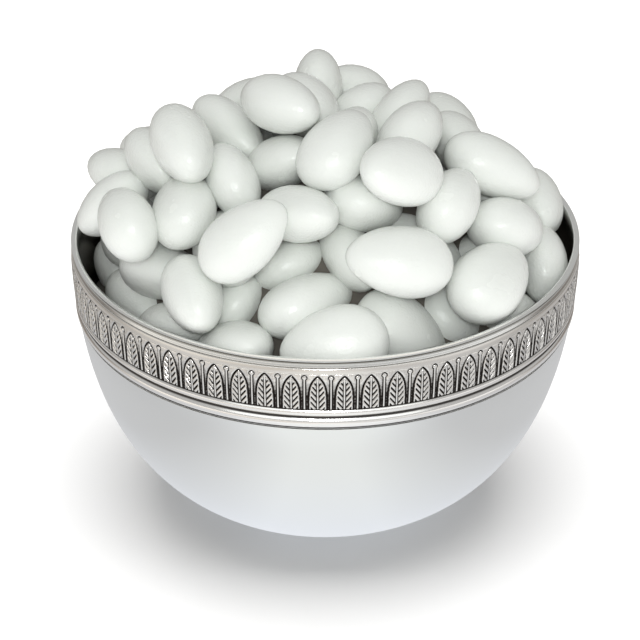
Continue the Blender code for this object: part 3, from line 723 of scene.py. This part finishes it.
def overlaps(one, two, ball):
    """True if almond one's surface reaches further into almond two than BED_PRESSED allows."""
    probe = (one[0] + almond_form(ball, one[2]) @ one[1] - two[0]) @ two[1].T
    narrow = 1.0 - TAPER * np.clip(probe[:, :1] / two[2][0], -1.0, 1.0)
    sizes = two[2] * np.concatenate([np.ones_like(narrow), narrow, narrow], axis=1)
    return ((probe / sizes) ** 2).sum(axis=1).min() < BED_PRESSED


def bed_places(almonds):
    """More almonds under the top ones, wherever a random one finds room between its neighbours."""
    draw = random.Random(SEED + 1)
    ball = sphere_points(SETTLE_POINTS)
    found = list(almonds)
    for _ in range(BED_TRIES):
        r = RIM_RADIUS * BED_REACH * math.sqrt(draw.random())
        turn = draw.uniform(0.0, 2.0 * math.pi)
        x, y = r * math.cos(turn), r * math.sin(turn)
        middle = np.array([x, y, heap_height(r)]) - draw.uniform(BED_TOP, BED_BOTTOM) * heap_normal(x, y)
        axes, _ = np.linalg.qr(np.array([[draw.gauss(0.0, 1.0) for _ in range(3)] for _ in range(3)]))
        half = np.array([ALMOND_LENGTH, ALMOND_WIDTH, ALMOND_THICKNESS]) / 2 * draw.uniform(BED_SMALLEST, 1.0)
        one = (middle, axes, half)
        world = middle + almond_form(ball, half) @ axes
        if (np.hypot(world[:, 0], world[:, 1]) > inner_radius(world[:, 2]) - CLEARANCE).any():
            continue
        near = [two for two in found if np.linalg.norm(two[0] - middle) < BED_NEIGHBOUR_REACH]
        if not any(overlaps(one, two, ball) or overlaps(two, one, ball) for two in near):
            found.append(one)
    print(len(found) - len(almonds), "almonds in the bed")
    return found


def shell_mesh(name, almonds):
    """All almonds as one joined mesh: round-ended ellipsoids with a blunt point and slow lumps."""
    unit_shape = bmesh.new()
    bmesh.ops.create_uvsphere(unit_shape, u_segments=SHELL_SIDES, v_segments=SHELL_RINGS, radius=1.0)
    ball = np.array([(vert.co.z, vert.co.x, vert.co.y) for vert in unit_shape.verts])
    faces = [[vert.index for vert in face.verts] for face in unit_shape.faces]
    unit_shape.free()
    draw = random.Random(SEED + 2)
    points, corners, tones = [], [], []
    for number, (middle, axes, half) in enumerate(almonds):
        lumps = np.zeros(len(ball))
        for _ in range(LUMP_WAVES):
            way = np.array([draw.gauss(0.0, LUMP_SPREAD) for _ in range(3)])
            lumps += np.sin(ball @ way + draw.uniform(0.0, 2.0 * math.pi))
        shape = almond_form(ball, half) * (1.0 + LUMP * lumps / LUMP_WAVES)[:, None]
        points.append(middle + shape @ axes)
        corners += [[corner + number * len(ball) for corner in face] for face in faces]
        tones.append(np.full(len(ball), draw.random()))
    mesh = bpy.data.meshes.new(name)
    mesh.from_pydata(np.concatenate(points).tolist(), [], corners)
    mesh.attributes.new("tone", "FLOAT", "POINT").data.foreach_set("value", np.concatenate(tones))
    mesh.shade_smooth()
    return mesh


places = bed_places(heap_places())
almonds = bpy.data.objects.new("almonds", shell_mesh("almonds", places))
bpy.context.scene.collection.objects.link(almonds)

sugar = Finish("white_sugar_shell")
where = sugar.place()
tone = sugar.node("ShaderNodeAttribute", {"attribute_name": "tone"}, {}, output="Fac")
patchy = sugar.noise(where, 90.0, 3.0)
wavy = sugar.noise(where, 170.0, 1.0)
dimpled = sugar.noise(where, 450.0, 2.0)
pitted = sugar.noise(where, 1500.0, 3.0)
almonds.data.materials.append(sugar.shade(
    Base_Color=sugar.blend(0.5 * tone + 0.5 * patchy, SUGAR, DULL_SUGAR),
    Roughness=0.225 + 0.07 * patchy,
    Subsurface_Weight=0.12,
    Subsurface_Radius=(0.8, 0.8, 0.75),
    Subsurface_Scale=0.002,
    Normal=sugar.bump(0.25 * wavy + 0.8 * dimpled + 1.0 * pitted, 0.00014, 1.0),
))
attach(almonds, "root")
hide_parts("almond_heap")

# The core stands for the almonds that lie too deep to be seen, and keeps the crevices dark.
# It is turned, lies under the heap's mean surface all over, and fills the bowl under that.
CORE_INSET = 0.0200
CORE_RINGS = 24
CORE_SIDE_RINGS = 12
CORE_COLUMNS = 64
SHADE = (0.10, 0.09, 0.078)
PALE_SHADE = (0.15, 0.135, 0.118)
core_line = []
for ring in range(CORE_RINGS + 1):
    r = RIM_RADIUS * ring / CORE_RINGS
    normal = heap_normal(r, 0.0)
    core_line.append((max(r - CORE_INSET * normal[0], 0.0), heap_height(r) - CORE_INSET * normal[2]))
core_line[0] = (0.0, core_line[0][1])
core_line = [point for point in core_line if point[0] < inner_radius(point[1]) - 2.0 * CLEARANCE]
side = wall_heights(core_line[-1][1], WALL, CORE_SIDE_RINGS)
core_line += [(float(inner_radius(z)) - CLEARANCE, z) for z in side[1:-1]]
core_line.append((0.0, WALL + CLEARANCE))
core = turned("almond_core", core_line, CORE_COLUMNS)
deep = Finish("deep_shade")
core.data.materials.append(deep.shade(
    Base_Color=deep.blend(deep.noise(deep.place(), 300.0), SHADE, PALE_SHADE),
    Roughness=0.9,
))
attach(core, "root")
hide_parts("almond_heap")

# The floor is a plain white plane, lit from above. What the silver mirrors is a second plane, which only
# reflections see: bright in front of the bowl, and falling off to a dim warm room behind it.
FLOOR_SIZE = 6.0
WHITE_FLOOR = (0.90, 0.90, 0.90, 1.0)
ROOM_GLOW = (0.22, 0.195, 0.175)
FAR_LEFT_TINT = (1.0, 0.95, 0.88)
FAR_RIGHT_TINT = (1.0, 0.985, 0.965)
NEAR_TINT = (0.985, 1.0, 0.99)
ASIDE_TINT = (0.965, 0.985, 1.02)
UNDER_TINT = (0.95, 0.98, 1.04)
# Ramps of the glow, in metres over the plane: where it starts and where it ends
NEAR_BOWL = (0.30, 0.12)
IN_FRONT = (0.06, -0.14)
ASIDE_STARTS = (0.02, 0.09)
ASIDE_ENDS = (0.26, 0.14)
STRIP_BRIGHTENS = (0.112, 0.135)
STRIP_DIMS = (0.155, 0.19)
LEFT_BRIGHTENS = (-0.06, -0.16)
RIGHT_BRIGHTENS = (0.06, 0.16)
bpy.ops.mesh.primitive_plane_add(size=FLOOR_SIZE)
floor = bpy.context.object
floor.name = "floor"
floor.visible_glossy = False
white = Finish("white_floor")
floor.data.materials.append(white.shade(Base_Color=WHITE_FLOOR, Roughness=0.9))
bpy.ops.mesh.primitive_plane_add(size=FLOOR_SIZE, location=(0.0, 0.0, -0.001))
mirrored = bpy.context.object
mirrored.name = "mirrored_floor"
mirrored.visible_camera = False
mirrored.visible_diffuse = False
mirrored.visible_shadow = False
glow = Finish("mirrored_glow")
where = glow.place()
apart = {name: glow.node("ShaderNodeSeparateXYZ", {}, {0: where}, output=name) for name in "XY"}
around = glow.node("ShaderNodeVectorMath", {"operation": "LENGTH"}, {0: where}, output="Value")
near = rise(*NEAR_BOWL, around)
front = rise(*IN_FRONT, apart["Y"])
aside = rise(*ASIDE_STARTS, abs(apart["X"])) * rise(*ASIDE_ENDS, abs(apart["X"]))
ahead = 0.92 + 0.34 * rise(*STRIP_BRIGHTENS, around) - 0.32 * rise(*STRIP_DIMS, around)
uneven = 1.0 + 0.30 * rise(*LEFT_BRIGHTENS, apart["X"]) + 0.05 * rise(*RIGHT_BRIGHTENS, apart["X"])
lightness = most(near * 0.93, front * ahead * uneven) * (1.0 - 0.40 * aside)
far_tint = glow.blend(rise(-0.08, 0.08, apart["X"]), FAR_LEFT_TINT, FAR_RIGHT_TINT)
near_tint = glow.blend(aside, NEAR_TINT, ASIDE_TINT)
tint = glow.blend(rise(0.22, 0.15, around), far_tint, near_tint)
tint = glow.blend(rise(0.10, 0.05, around), tint, UNDER_TINT)
mirrored.data.materials.append(glow.shade(
    Base_Color=(0.0, 0.0, 0.0, 1.0),
    Roughness=1.0,
    Specular_IOR_Level=0.0,
    Emission_Color=glow.blend(lightness, ROOM_GLOW, tint),
    Emission_Strength=1.0,
))

# Soft panels, parted by what they light, because the photograph is a cut-out with lighting of its own.
# Two light the bowl and its almonds, two the almonds alone, two the silver alone, and one the floor.
MIDDLE = (0.0, 0.0, 0.10)
LOW_MIDDLE = (0.0, 0.0, 0.05)
COOL_WHITE = (0.965, 1.0, 0.98)
WARM_WHITE = (1.0, 0.94, 0.84)
WORLD_WHITE = (1.0, 0.99, 0.97, 1.0)
WORLD_STRENGTH = 0.47


def lit_together(name, pieces):
    """A collection of the pieces that a panel lights."""
    lit = bpy.data.collections.new(name)
    for piece in pieces:
        lit.objects.link(piece)
    return lit


def panel(name, place, target, size, power, only, colour=(1.0, 1.0, 1.0)):
    """A soft square light panel that faces target and lights only one collection."""
    lamp = bpy.data.objects.new(name, bpy.data.lights.new(name, "AREA"))
    lamp.data.shape = "SQUARE"
    lamp.data.size = size
    lamp.data.energy = power
    lamp.data.color = colour
    lamp.location = place
    away = np.array(target) - np.array(place)
    lamp.rotation_euler = (math.atan2(math.hypot(away[0], away[1]), -away[2]), 0.0,
                           math.atan2(away[1], away[0]) - math.pi / 2)
    bpy.context.scene.collection.objects.link(lamp)
    lamp.light_linking.receiver_collection = only


in_front = lit_together("lit_from_the_front", (bowl_wall, leaf_border, almonds, core))
sweets = lit_together("only_the_almonds", (almonds, core))
metal = lit_together("only_the_silver", (bowl_wall, leaf_border))
floor_only = lit_together("only_the_floor", (floor,))
panel("left_panel", (-0.75, -1.35, 0.95), MIDDLE, 0.8, 1.5, in_front, COOL_WHITE)
panel("right_panel", (0.75, -1.35, 0.95), MIDDLE, 0.8, 1.5, in_front, COOL_WHITE)
panel("camera_panel", (0.0, -0.86, 0.60), MIDDLE, 0.12, 3.4, sweets, COOL_WHITE)
panel("top_panel", (0.0, 0.25, 1.4), LOW_MIDDLE, 1.4, 3.0, sweets, COOL_WHITE)
panel("silver_front_panel", (0.0, -0.86, 0.60), MIDDLE, 0.18, 3.4, metal)
panel("silver_top_panel", (0.0, 0.25, 1.4), LOW_MIDDLE, 1.4, 3.2, metal, WARM_WHITE)
panel("floor_panel", (0.0, 0.0, 1.5), LOW_MIDDLE, 1.5, 33.5, floor_only)

studio = bpy.data.worlds.new("studio")
bpy.context.scene.world = studio
studio.use_nodes = True
studio.node_tree.nodes["Background"].inputs["Color"].default_value = WORLD_WHITE
studio.node_tree.nodes["Background"].inputs["Strength"].default_value = WORLD_STRENGTH

# The camera is placed as the photograph's: the rim's ellipse gives its height and its distance.
# It is level from side to side, and the photograph's middle is 5 pixels left of the rim's.
SENSOR_MM = 36.0
view_from = Photo()
camera = bpy.data.objects.new("camera", bpy.data.cameras.new("camera"))
camera.data.sensor_width = SENSOR_MM
camera.data.lens = FOCAL_PX / PHOTO_SIDE * SENSOR_MM
camera.location = view_from.eye
camera.rotation_euler = (math.asin(view_from.axis[2]) + math.pi / 2, 0.0, 0.0)
bpy.context.scene.collection.objects.link(camera)
bpy.context.scene.camera = camera
bpy.context.scene.view_settings.view_transform = "Standard"
